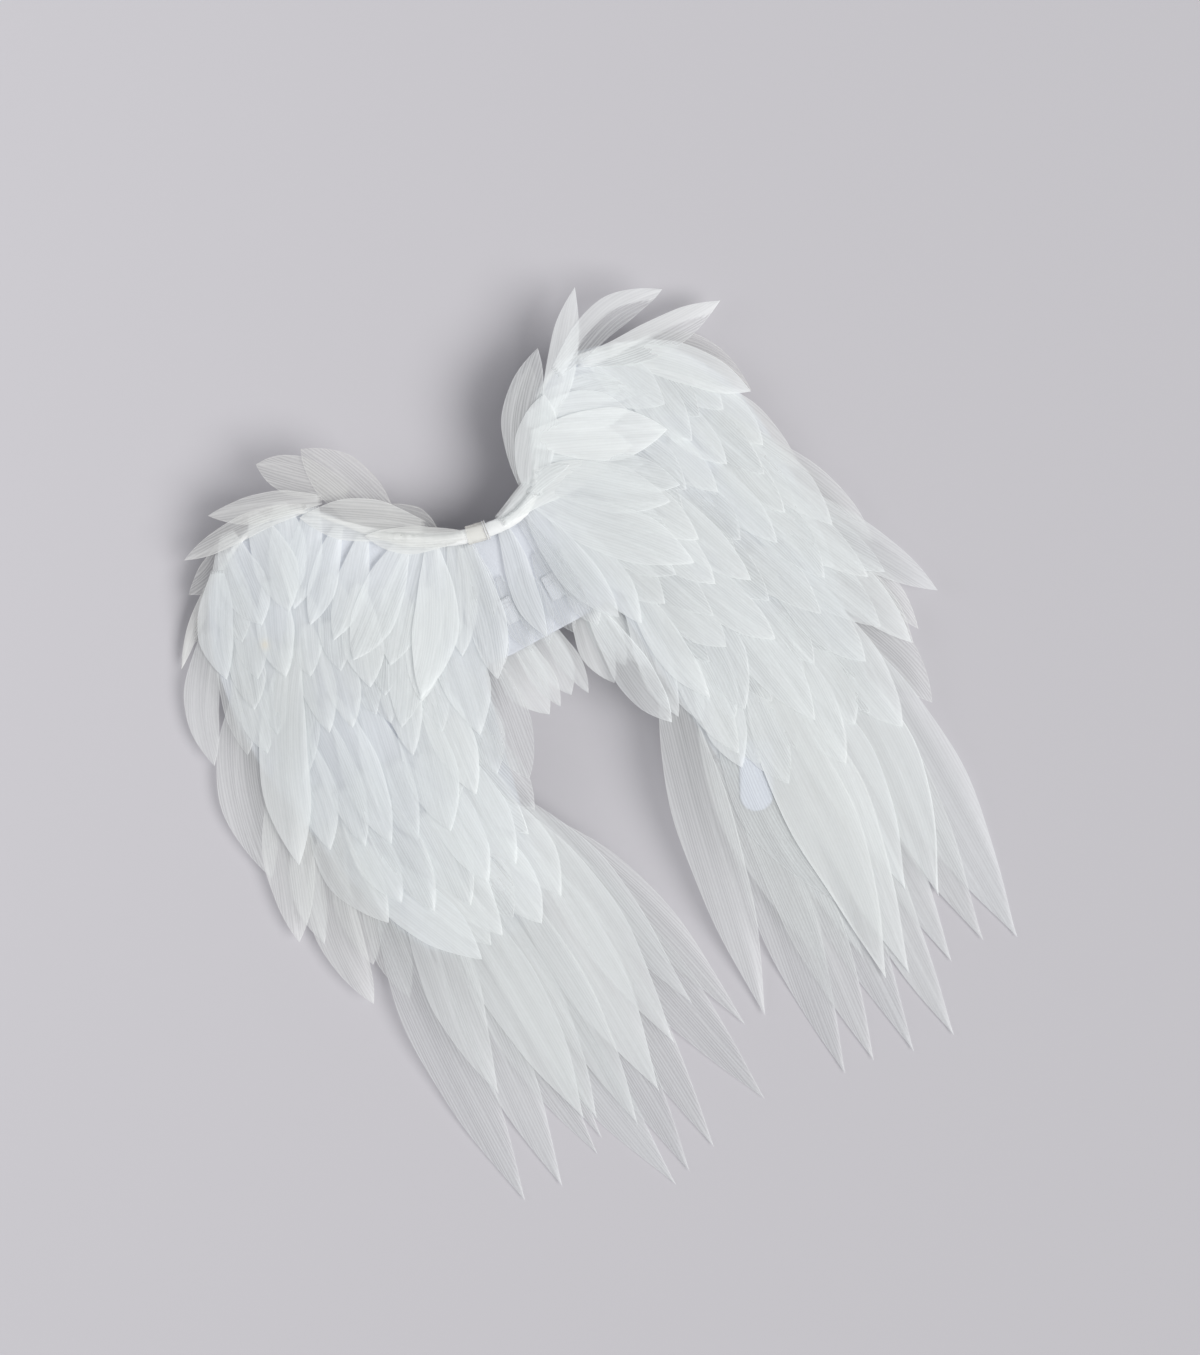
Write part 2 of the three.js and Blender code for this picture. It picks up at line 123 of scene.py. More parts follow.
def new_material(name, colour, roughness):
    """A Principled material with a plain colour and roughness, and its nodes, links and shader."""
    material = bpy.data.materials.new(name)
    material.use_nodes = True
    tree = material.node_tree
    shader = tree.nodes["Principled BSDF"]
    shader.inputs["Base Color"].default_value = (*colour, 1)
    shader.inputs["Roughness"].default_value = roughness
    return material, tree.nodes, tree.links, shader


def grid_mesh(name, points, material, closed=False):
    """An object from a grid of points in metres, given as rows, columns and x, y, z. Closed joins the
    last column to the first."""
    rows, columns = points.shape[:2]
    number = np.arange(rows * columns).reshape(rows, columns)
    if closed:
        number = np.hstack([number, number[:, :1]])
    faces = np.stack([number[:-1, :-1], number[:-1, 1:], number[1:, 1:], number[1:, :-1]], axis=-1)
    mesh = bpy.data.meshes.new(name)
    mesh.from_pydata(points.reshape(-1, 3), [], faces.reshape(-1, 4).tolist())
    mesh.shade_smooth()
    mesh.materials.append(material)
    thing = bpy.data.objects.new(name, mesh)
    bpy.context.scene.collection.objects.link(thing)
    return thing


floor_colour = (0.470, 0.462, 0.487)
floor_reach = 25.0
floor_edges = np.linspace(-floor_reach, floor_reach, 2)
floor_points = np.stack([*np.meshgrid(floor_edges, floor_edges), np.zeros((2, 2))], axis=-1)
floor = grid_mesh("floor", floor_points, new_material("floor", floor_colour, 0.9)[0])

# The felt panel: two wing lobes and a bridge cut from one sheet of stiff craft felt, domed towards
# the shoulders. Everything else is sewn to it.
half_span = 225.0
tail_length = 400.0
felt_wall = 1.8
dome_height = 34.0
dome_level_x = 70.0
dome_level_y = 78.0
dome_side_run = 155.0
dome_tail_run = 270.0
rim_height = 7.0
rim_level_y = 230.0
rim_run = 120.0
felt_rows = 80
felt_columns = 170


def fall(share):
    """Share of the full fall: a squared cosine, level at both ends of its run."""
    return np.cos(np.clip(share, 0, 1) * math.pi / 2) ** 2


def panel_height(x, y):
    """Height of the felt's face: the rim's height, which sinks to the floor along the tail, and a
    dome that falls away from the level middle to the sides and to the tail."""
    side = fall((np.abs(x) - dome_level_x) / dome_side_run)
    tail = fall((-y - dome_level_y) / dome_tail_run)
    return rim_height * fall((-y - rim_level_y) / rim_run) + dome_height * side * tail


# x as a share of the half span, y of the top edge and y of the lower edge as shares of the tail length
panel_table = np.array([
    [-0.82, -0.075, -0.15], [-0.79, 0.02, -0.26], [-0.735, 0.095, -0.41], [-0.665, 0.135, -0.51],
    [-0.56, 0.165, -0.55], [-0.445, 0.17, -0.555], [-0.355, 0.14, -0.545], [-0.295, 0.1, -0.5],
    [-0.26, 0.082, -0.41], [-0.225, 0.065, -0.32], [-0.19, 0.05, -0.24], [-0.16, 0.037, -0.1875],
    [-0.08, 0.012, -0.1875], [0, 0.0, -0.1875], [0.09, -0.002, -0.1875], [0.16, 0.015, -0.1875],
    [0.215, 0.055, -0.19], [0.235, 0.08, -0.25], [0.255, 0.095, -0.375], [0.275, 0.112, -0.515],
    [0.31, 0.14, -0.565], [0.38, 0.16, -0.56], [0.465, 0.162, -0.555], [0.58, 0.144, -0.54],
    [0.665, 0.115, -0.5], [0.74, 0.06, -0.41], [0.785, 0, -0.275], [0.805, -0.085, -0.165],
])


def smooth_line(table, count):
    """Points along a smooth line through the table's points: a cubic with slopes taken from the
    neighbours on both sides, at even steps of the table."""
    along = np.linspace(0, len(table) - 1, count)
    start = np.clip(along.astype(int), 0, len(table) - 2)
    share = (along - start)[:, None]
    slope = np.gradient(table, axis=0)
    a, b, m, n = table[start], table[start + 1], slope[start], slope[start + 1]
    return (a * (2 * share ** 3 - 3 * share ** 2 + 1) + m * (share ** 3 - 2 * share ** 2 + share)
            + b * (3 * share ** 2 - 2 * share ** 3) + n * (share ** 3 - share ** 2))


def felt_panel():
    """A grid over the outline: columns at even x from the left end to the right end, rows at even
    steps from the lower edge to the top edge."""
    x = np.linspace(panel_table[0, 0], panel_table[-1, 0], felt_columns)
    outline = smooth_line(panel_table, 400)
    top = np.interp(x, outline[:, 0], outline[:, 1]) * tail_length
    lower = np.interp(x, outline[:, 0], outline[:, 2]) * tail_length
    y = lower + (top - lower) * np.linspace(0, 1, felt_rows)[:, None]
    x = np.broadcast_to(x * half_span, y.shape)
    return x, y


def add_wall(piece, thickness):
    """Gives a surface the thickness of its cloth in millimetres, downwards."""
    wall = piece.modifiers.new("wall", "SOLIDIFY")
    wall.thickness = thickness * mm
    wall.offset = -1


def add_node(nodes, kind, settings=(), **values):
    """A shader node of a kind, with its settings and the values of its sockets. A socket's name is
    written with _ for a space."""
    node = nodes.new("ShaderNode" + kind)
    for setting, value in dict(settings).items():
        setattr(node, setting, value)
    for socket, value in values.items():
        node.inputs[socket.replace("_", " ")].default_value = value
    return node


def mottle(nodes, links, shader, scale, dark, pale):
    """Soft clouds all over the piece: noise of so many waves to the metre mixes a dark and a pale shade."""
    place = add_node(nodes, "TexCoord")
    clouds = add_node(nodes, "TexNoise", Scale=scale)
    links.new(place.outputs["Object"], clouds.inputs["Vector"])
    shade = add_node(nodes, "Mix", {"data_type": "RGBA"})
    shade.inputs["A"].default_value = (*dark, 1)
    shade.inputs["B"].default_value = (*pale, 1)
    links.new(clouds.outputs["Fac"], shade.inputs["Factor"])
    links.new(shade.outputs["Result"], shader.inputs["Base Color"])


def grain(nodes, links, shader, scale, detail, strength, depth):
    """Fine relief of fibres or creases all over the piece: noise of so many waves to the metre makes a
    bump of a depth in metres."""
    place = add_node(nodes, "TexCoord")
    fibres = add_node(nodes, "TexNoise", Scale=scale, Detail=detail)
    links.new(place.outputs["Object"], fibres.inputs["Vector"])
    bump = add_node(nodes, "Bump", Strength=strength, Distance=depth)
    links.new(fibres.outputs["Fac"], bump.inputs["Height"])
    links.new(bump.outputs["Normal"], shader.inputs["Normal"])


felt_material, nodes, links, shader = new_material("felt", (0.53, 0.565, 0.615), 0.95)
mottle(nodes, links, shader, 60.0, (0.52, 0.545, 0.585), (0.585, 0.61, 0.655))
grain(nodes, links, shader, 900.0, 6.0, 0.5, 0.0006)

x, y = felt_panel()
felt = grid_mesh("felt_panel", placed(x, y, panel_height(x, y)), felt_material)
add_wall(felt, felt_wall)
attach(felt, "root")
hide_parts("backing")

# The felt tongue: at the inner end of the right lobe a rounded tip of thin, pale felt comes out from
# under the rows. It lies over the tail petals, with one sheer petal over it.
tongue_root = np.array([85.0, -189.0])
tongue_tip = np.array([65.5, -227.0])
tongue_half = 10.0
tongue_lift = 3.2
tongue_wall = 0.6
round_share = 0.21
straight_share = 1 - round_share
# Its sides are straight, and its end is an arc over the round share of its length.
down = np.sin(np.linspace(0, math.pi / 2, 60))[:, None]
half = tongue_half * np.sqrt(1 - np.clip((down - straight_share) / round_share, 0, 1) ** 2)
way = tongue_tip - tongue_root
aside = half * np.linspace(-1, 1, 14) / np.linalg.norm(way)
x = tongue_root[0] + way[0] * down - way[1] * aside
y = tongue_root[1] + way[1] * down + way[0] * aside
tongue = grid_mesh("felt_tongue", placed(x, y, panel_height(x, y) + tongue_lift),
                   new_material("felt tip", (0.58, 0.615, 0.68), 0.95)[0])
add_wall(tongue, tongue_wall)
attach(tongue, "root")

# The padded binding: a wadded roll wrapped in a strip of the petal cloth, sewn along the top edge.
# It thins out towards both ends.
binding_width = 9.0
binding_height = 5.0
binding_lift = 0.6
full_left = 40.0
full_right = 28.0
thinning_run = 30.0
thinning = 0.7
section_sides = 48
# x as a share of the half span, y as a share of the tail length
binding_table = np.array([
    [-0.675, 0.125], [-0.58, 0.155], [-0.465, 0.165], [-0.38, 0.145], [-0.31, 0.105], [-0.22, 0.055],
    [-0.11, 0.015], [0, -0.005], [0.11, -0.0075], [0.185, 0.02], [0.245, 0.08], [0.31, 0.1325],
    [0.39, 0.1575], [0.465, 0.155], [0.58, 0.1375], [0.665, 0.11],
])


def roll_share(x):
    """Thickness of the binding as a share of its full thickness, which it has round the notch. It
    thins out evenly past that stretch on both sides."""
    return 1 - thinning * np.clip(np.maximum(-x - full_left, x - full_right) / thinning_run, 0, 1)


def roll(line, width, height, lift):
    """A flat-bottomed round section carried along a line in plan, in cloth that lies in folds along
    the roll and a few creases across it, each a sine of the turn and of the run along the line."""
    step = np.gradient(line, axis=0)
    step /= np.linalg.norm(step, axis=1)[:, None]
    left = np.stack([-step[:, 1], step[:, 0]], axis=-1)
    run = np.append(0, np.cumsum(np.linalg.norm(np.diff(line, axis=0), axis=1)))[:, None]
    turn = np.linspace(0, 2 * math.pi, section_sides, endpoint=False)
    thin = roll_share(line[:, :1])
    broad_folds = 0.04 * np.sin(2 * turn + run * 0.06 + np.sin(run * 0.09))
    narrow_folds = 0.03 * np.sin(5 * turn + run * 0.13 + 2 * np.sin(run * 0.05))
    creases = 0.012 * np.sin(run * 1.1 - 4 * turn)
    ridge = 1 + broad_folds + narrow_folds + creases
    across = width / 2 * np.cos(turn) * ridge * thin
    up = height * (0.5 + 0.5 * np.sign(np.sin(turn)) * np.abs(np.sin(turn)) ** 0.8 * ridge) * thin
    x = line[:, :1] + left[:, :1] * across
    y = line[:, 1:] + left[:, 1:] * across
    return placed(x, y, panel_height(x, y) + lift + up)


def shut(points):
    """A tube's grid of points with both ends closed, each on the middle of its last section."""
    ends = np.broadcast_to(points[[0, -1]].mean(axis=1, keepdims=True), (2, *points.shape[1:]))
    return np.concatenate([ends[:1], points, ends[1:]])


binding_material, nodes, links, shader = new_material("binding cloth", (0.66, 0.67, 0.65), 0.75)
mottle(nodes, links, shader, 45.0, (0.66, 0.68, 0.685), (0.76, 0.77, 0.76))
grain(nodes, links, shader, 420.0, 4.0, 0.4, 0.0006)

binding_line = smooth_line(binding_table * [half_span, tail_length], 420)
binding = grid_mesh("edge_roll", shut(roll(binding_line, binding_width, binding_height, binding_lift)),
                    binding_material, closed=True)
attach(binding, "root")
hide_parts("edge_binding")

# The petals: leaf shapes heat-cut from white crinkle chiffon, sewn by their gathered roots in rows.
# Each row shingles over the next one down, and the crinkles run from root to tip.
row_count = 8
last_seam = 195.0
petal_gap = 1.1
row_step = 1.4
ply_step = 0.45
settle_from = 250.0
settle_run = 110.0
settled_share = 0.55
# x as a share of the half span, y as a share of the tail length
top_seam = np.array([
    [-0.98, -0.155], [-0.802, 0.02], [-0.624, 0.115], [-0.445, 0.135], [-0.267, 0.055], [-0.089, -0.032],
    [0.089, -0.042], [0.267, 0.05], [0.445, 0.125], [0.624, 0.09], [0.802, -0.025], [0.98, -0.185],
]) * [half_span, tail_length]
top_seam_fine = smooth_line(top_seam, 200)


def steps_down(x, y):
    """How many row steps a place lies below row 1's seam. The seams close up evenly to the last row's
    straight line."""
    top = np.interp(x, top_seam_fine[:, 0], top_seam_fine[:, 1])
    return np.clip((row_count - 1) * (top - y) / (top + last_seam), 0, row_count - 1)


roll_gap = 1.0
roll_cover = 5.4
roll_reach = 7.5
bare_left = 42.0
bare_right = 34.0
bare_run = 8.0


def over_roll(x, y):
    """Height of cloth that lies over the binding, and none away from it: it drops steeply at a
    distance from the binding's line."""
    plan = np.stack([x, y], axis=-1)[..., None, :]
    away = np.linalg.norm(plan - binding_line[::6], axis=-1).min(axis=-1)
    share = roll_share(x)
    top = panel_height(x, y) + roll_gap + roll_cover * share
    return top * np.exp(-(away / (roll_reach * share)) ** 4)


def on_row(seam):
    """Height of a row's cloth: its roots lie on the panel under the row above, and it is a row step
    higher on each later row. Along the tail it settles towards the floor. Row 1 also lies over the
    binding, except near the notch, where the binding is bare."""
    def height(x, y):
        settle = 1 - settled_share * np.clip((-y - settle_from) / settle_run, 0, 1)
        stack = petal_gap + row_step * np.maximum(0, steps_down(x, y) - seam + 1)
        bare_roll = np.clip(np.minimum(x + bare_left, bare_right - x) / bare_run, 0, 1)
        draped = over_roll(x, y) * (1 - bare_roll) if seam == 0 else 0
        return np.maximum(panel_height(x, y) + stack * settle, draped)
    return height


rim_gap = 0.6
under_gap = 1.3
over_rows_gap = 4.2
over_roll_gap = 0.8


def on_rim(x, y):
    """Height of the outer petals, which lie along the panel's rim below the rows."""
    return panel_height(x, y) + rim_gap


def under_panel(x, y):
    """Height of the petals that are sewn to the panel's back."""
    return panel_height(x, y) - felt_wall - under_gap


def over_binding(x, y):
    """Height of the petals that lie over the binding and the rows."""
    return np.maximum(panel_height(x, y) + over_rows_gap, over_roll(x, y) + over_roll_gap)


def leaf_width(share, tail):
    """Half width of a petal at a share of its length, as a share of its full half width: it widens
    from the gathered root and closes to a point, and a tail petal's point is drawn out longer. The
    number at the end of each formula brings its widest place to 1."""
    if tail:
        return (0.3 + 3.4 * share) * (1 - share) ** 1.15 / 0.923
    return (0.3 + 1.9 * share) * (1 - share ** 2.1) / 0.963


petal_columns = 27
petal_rows = 26
tail_petal_rows = 38
crown_height = 0.3
lean_width = 1.2
# the least and the most of a petal's tilt, curl, wave, sway, lean and rise, curl and rise in millimetres
least_loose = [0, 0, -1, -0.03, -1, 0]
most_loose = [0.05, 0.8, 1, 0.03, 1, 0.5]
# Waves over a petal: size, radians to a millimetre across, radians to a petal's length along, and the
# number of the wave's phase. Phase 6 is always 0, and the others are drawn for each petal.
edge_waves = [(0.05, 0, 5, 4), (0.02, 0, 17, 5)]
fine_waves = [(0.05, 1.45, 2, 0)]
broad_waves = [(0.16, 0.42, -3, 1), (0.35, 0.15, 4, 2)]
crinkle_waves = [(0.45, 0.55, 3, 0), (0.25, 1.2, -9, 6), (0.5, 0, 5, 2)]
shade_waves = [(1, 0.6, 2, 0), (0.6, 1.5, -2, 5), (0.7, 0.2, 6, 3)]
fold_blend = 0.8
fold_cover = 0.3
crease_width = 1.2
crease_cover = 0.07
crease_light = 0.01
shade_cover = 0.02
shade_light = 0.006
root_cover = 0.4
cover_spread = 8.0
light_spread = 0.02
tone_spread = 0.07
# painted shade: tail petals are painted this much darker
painted_tail_shade = 0.05
map_unit = 10.0
stain_x = -146.0
stain_y = 1.0
stain_spread = 6.0


def waves_over(waves, phase, along, aside):
    """The sum of a table's sine waves at places along and across a petal."""
    return sum(size * np.sin(across_rate * aside + along_rate * along + phase[number])
               for size, across_rate, along_rate, number in waves)


def petal_grid(height, chance, tail, tone,
               root_x, root_y, tip_x, tip_y, width, bow, cover, fold=0, ply=0):
    """One petal: columns across and rows along a middle line that bows to its left by a percentage of
    its length. The cloth follows the height below it, crowns a little, tilts, lifts at its tip, and
    stands in soft waves. Cover is how opaque the cloth is in percent, fold is the width of a doubled
    edge in millimetres, on the left where it is positive, and ply is how many ply steps the petal lies
    above its row."""
    along = np.linspace(0, 1, tail_petal_rows if tail else petal_rows)[:, None]
    across = np.linspace(1, -1, petal_columns)
    way = np.array([tip_x - root_x, tip_y - root_y], float)
    length = np.linalg.norm(way)
    left = np.array([-way[1], way[0]]) / length
    tilt, curl, wave, sway, lean, rise = chance.uniform(least_loose, most_loose)
    phase = np.append(chance.uniform(0, 2 * math.pi, 6), 0)
    half = width / 2 * leaf_width(along, tail) * (1 + waves_over(edge_waves, phase, along, 0))
    aside = half * across
    bend = (bow / 100 + sway) * length * np.sin(math.pi * along)
    bend = bend + lean_width * lean * np.sin(2 * math.pi * along)
    x = root_x + way[0] * along + left[0] * (bend + aside)
    y = root_y + way[1] * along + left[1] * (bend + aside)
    waves = (waves_over(fine_waves, phase, along, aside)
             + wave * waves_over(broad_waves, phase, along, aside))
    crown = crown_height * (1 - across ** 2)
    z = (height(x, y) + ply * ply_step + rise + crown + tilt * aside
         + curl * along ** 3 + waves * np.clip(along * 4, 0, 1))

    edge = half * (1 - np.abs(across))
    doubled = np.clip((abs(fold) - half * (1 - across * np.sign(fold))) / fold_blend, 0, 1)
    from_crease = np.abs(across - 0.5 * wave - 0.3 * np.sin(3 * along + phase[1]))
    crease = np.clip(1 - from_crease * half / crease_width, 0, 1)
    drift = waves_over(shade_waves, phase, along, aside)
    crosswise = aside + waves_over(crinkle_waves, phase, along, aside)
    lengthwise = np.broadcast_to(along * length, aside.shape)
    cloth_map = np.stack([crosswise, lengthwise], axis=-1) / map_unit
    veil = (cover + chance.uniform(-cover_spread, cover_spread)) / 100
    veil = veil + fold_cover * doubled + crease_cover * crease + shade_cover * drift
    veil = np.clip(veil, 0, 1) * np.clip(root_cover + along * 20, 0, 1)
    # The lightness holds a painted shade that darkens the tail petals, beside its spread at random from
    # petal to petal and along the creases and soft waves.
    light = (1 - painted_tail_shade * tail + chance.uniform(-light_spread, light_spread)
             + shade_light * drift + crease_light * crease)
    stain = np.exp(-((x - stain_x) ** 2 + (y - stain_y) ** 2) / stain_spread)
    tones = tone + chance.uniform(0, tone_spread) + stain
    area = np.trapz(2 * half[:, 0], along[:, 0] * length) * mm * mm
    return placed(x, y, z), cloth_map, np.stack([edge, tones, veil, light], axis=-1), area


def petal_piece(node, petals, height, seed, tail, tone):
    """One piece of cloth petals joined at their roots, as one mesh with a cloth map in centimetres, and
    for each point its distance to the petal's edge in millimetres, its tone, cover and lightness, which
    carries a painted shade on tail petals."""
    chance = np.random.default_rng(seed)
    points, maps, marks, faces, area, count = [], [], [], [], 0.0, 0
    for petal in petals:
        grid, cloth_map, mark, flat_area = petal_grid(height, chance, tail, tone, *petal)
        rows, columns = mark.shape[:2]
        number = np.arange(rows * columns).reshape(rows, columns) + count
        faces.append(np.stack([number[:-1, :-1], number[1:, :-1], number[1:, 1:], number[:-1, 1:]],
                              axis=-1).reshape(-1, 4))
        points.append(grid.reshape(-1, 3))
        maps.append(cloth_map.reshape(-1, 2))
        marks.append(mark.reshape(rows * columns, -1))
        area += flat_area
        count += rows * columns
    faces = np.concatenate(faces)
    marks = np.concatenate(marks)
    mesh = bpy.data.meshes.new("petals_" + node)
    mesh.from_pydata(np.concatenate(points), [], faces.tolist())
    mesh.shade_smooth()
    uv = mesh.uv_layers.new(name="cloth")
    uv.data.foreach_set("uv", np.concatenate(maps)[faces.ravel()].ravel())
    for column, attribute in enumerate(("edge_mm", "tone", "cover", "light")):
        mesh.attributes.new(attribute, "FLOAT", "POINT").data.foreach_set("value", marks[:, column].copy())
    mesh.materials.append(chiffon)
    thing = bpy.data.objects.new("petals_" + node, mesh)
    bpy.context.scene.collection.objects.link(thing)
    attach(thing, "root")
    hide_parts(node)


def part_of(nodes, links, value, low, high, start, end):
    """A Map Range node that turns a value between low and high into one between start and end."""
    node = add_node(nodes, "MapRange", From_Min=low, From_Max=high, To_Min=start, To_Max=end)
    links.new(value, node.inputs["Value"])
    return node.outputs["Result"]


def combined(nodes, links, operation, first, second):
    """A Math node on two values."""
    node = add_node(nodes, "Math", {"operation": operation})
    links.new(first, node.inputs[0])
    links.new(second, node.inputs[1])
    return node.outputs["Value"]


# The chiffon's colour goes from white to cream with the tone. Sheer cloth is painted a little darker, a
# painted shade that stands in for the shade under few layers and the weaker light between them.
chiffon, nodes, links, shader = new_material("crinkle chiffon", (0.9, 0.93, 0.94), 0.65)
sheer_cover = 0.46
dense_cover = 0.62
crinkle_scale = 1.9
rim_inner = 0.7
rim_outer = 0.25
shine_through = 0.46
cloth_map = add_node(nodes, "UVMap", {"uv_map": "cloth"})
crinkles = add_node(nodes, "TexWave", Scale=crinkle_scale)
links.new(cloth_map.outputs["UV"], crinkles.inputs["Vector"])
edge, tone, cover, light = (add_node(nodes, "Attribute", {"attribute_name": attribute})
                            for attribute in ("edge_mm", "tone", "cover", "light"))
tint = add_node(nodes, "Mix", {"data_type": "RGBA"})
tint.inputs["A"].default_value = (0.945, 0.972, 0.974, 1)
tint.inputs["B"].default_value = (0.985, 0.955, 0.87, 1)
links.new(tone.outputs["Fac"], tint.inputs["Factor"])
# Painted shade: the base colour of sheer, low-cover cloth is scaled down to 0.86, and the lightness darkens
# the tail petals.
painted_sheer_shade = part_of(nodes, links, cover.outputs["Fac"], 0.35, dense_cover, 0.86, 1.0)
shaded = add_node(nodes, "VectorMath", {"operation": "SCALE"})
links.new(tint.outputs["Result"], shaded.inputs[0])
links.new(combined(nodes, links, "MULTIPLY", painted_sheer_shade, light.outputs["Fac"]), shaded.inputs["Scale"])
links.new(shaded.outputs["Vector"], shader.inputs["Base Color"])
shader.inputs["Specular IOR Level"].default_value = 0.2

# Light glows through the cloth, and the cloth is see-through by its cover: the crinkles change it most
# on sheer cloth, and the heat-cut rim is a little denser.
through = add_node(nodes, "BsdfTranslucent")
links.new(shaded.outputs["Vector"], through.inputs["Color"])
glow = add_node(nodes, "MixShader", Fac=shine_through)
links.new(shader.outputs["BSDF"], glow.inputs[1])
links.new(through.outputs["BSDF"], glow.inputs[2])
fine_cover = combined(nodes, links, "MULTIPLY",
                      part_of(nodes, links, crinkles.outputs["Fac"], 0.0, 1.0, -0.1, 0.1),
                      part_of(nodes, links, cover.outputs["Fac"], sheer_cover, dense_cover, 0.9, 0.25))
rim_cover = combined(nodes, links, "MULTIPLY",
                     part_of(nodes, links, edge.outputs["Fac"], rim_outer, rim_inner, 1.0, 0.0),
                     part_of(nodes, links, cover.outputs["Fac"], sheer_cover, dense_cover, 0.2, 0.03))
veil = combined(nodes, links, "ADD", cover.outputs["Fac"],
                combined(nodes, links, "ADD", fine_cover, rim_cover))
clear = add_node(nodes, "BsdfTransparent", Color=(0.95, 0.95, 0.955, 1))
sheer = add_node(nodes, "MixShader")
links.new(veil, sheer.inputs["Fac"])
links.new(clear.outputs["BSDF"], sheer.inputs[1])
links.new(glow.outputs["Shader"], sheer.inputs[2])
links.new(sheer.outputs["Shader"], nodes["Material Output"].inputs["Surface"])

